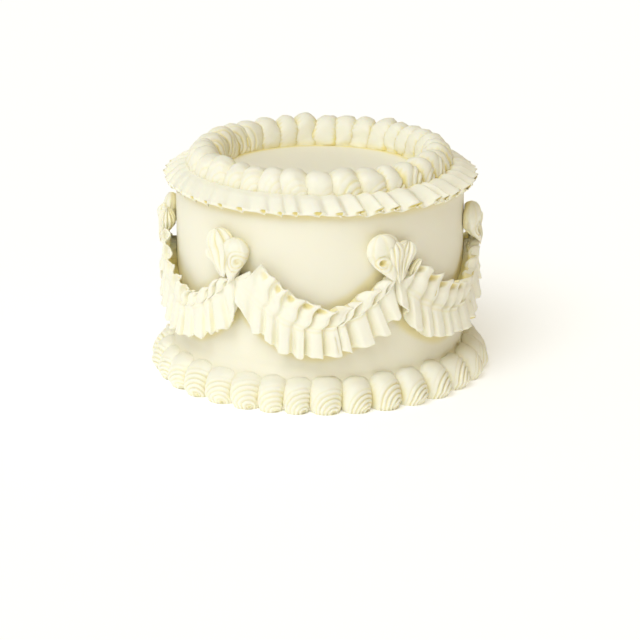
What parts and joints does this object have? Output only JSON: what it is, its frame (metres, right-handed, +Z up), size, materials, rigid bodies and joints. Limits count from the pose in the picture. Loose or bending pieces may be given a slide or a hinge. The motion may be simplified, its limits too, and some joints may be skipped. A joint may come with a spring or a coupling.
{
  "type": "cream cake",
  "caption": "Round iced cream cake with piped shell borders, a pleated top edge, hanging swags and small piped fleurs.",
  "frame": {"origin": "middle of the underside, where the cake rests", "axes": "+Z up through the middle of the cake, front towards -Y"},
  "size_m": [0.2073, 0.2065, 0.1399],
  "materials": {
    "cake_body": "smooth ivory buttercream",
    "base_shell_border": "piped ivory buttercream",
    "top_shell_border": "piped ivory buttercream",
    "top_ruffle": "piped ivory buttercream",
    "swag": "piped ivory buttercream",
    "peak_fleur": "piped ivory buttercream"
  },
  "bodies": {
    "root": {"cake_body": "cake_body", "base_shell_border": "base_shell_border", "top_shell_border": "top_shell_border", "top_ruffle": "top_ruffle", "swag_1": "swag", "swag_2": "swag", "swag_3": "swag", "swag_4": "swag", "swag_5": "swag", "swag_6": "swag", "peak_fleur_1": "peak_fleur", "peak_fleur_2": "peak_fleur", "peak_fleur_3": "peak_fleur", "peak_fleur_4": "peak_fleur", "peak_fleur_5": "peak_fleur", "peak_fleur_6": "peak_fleur"}
  },
  "joints": []
}
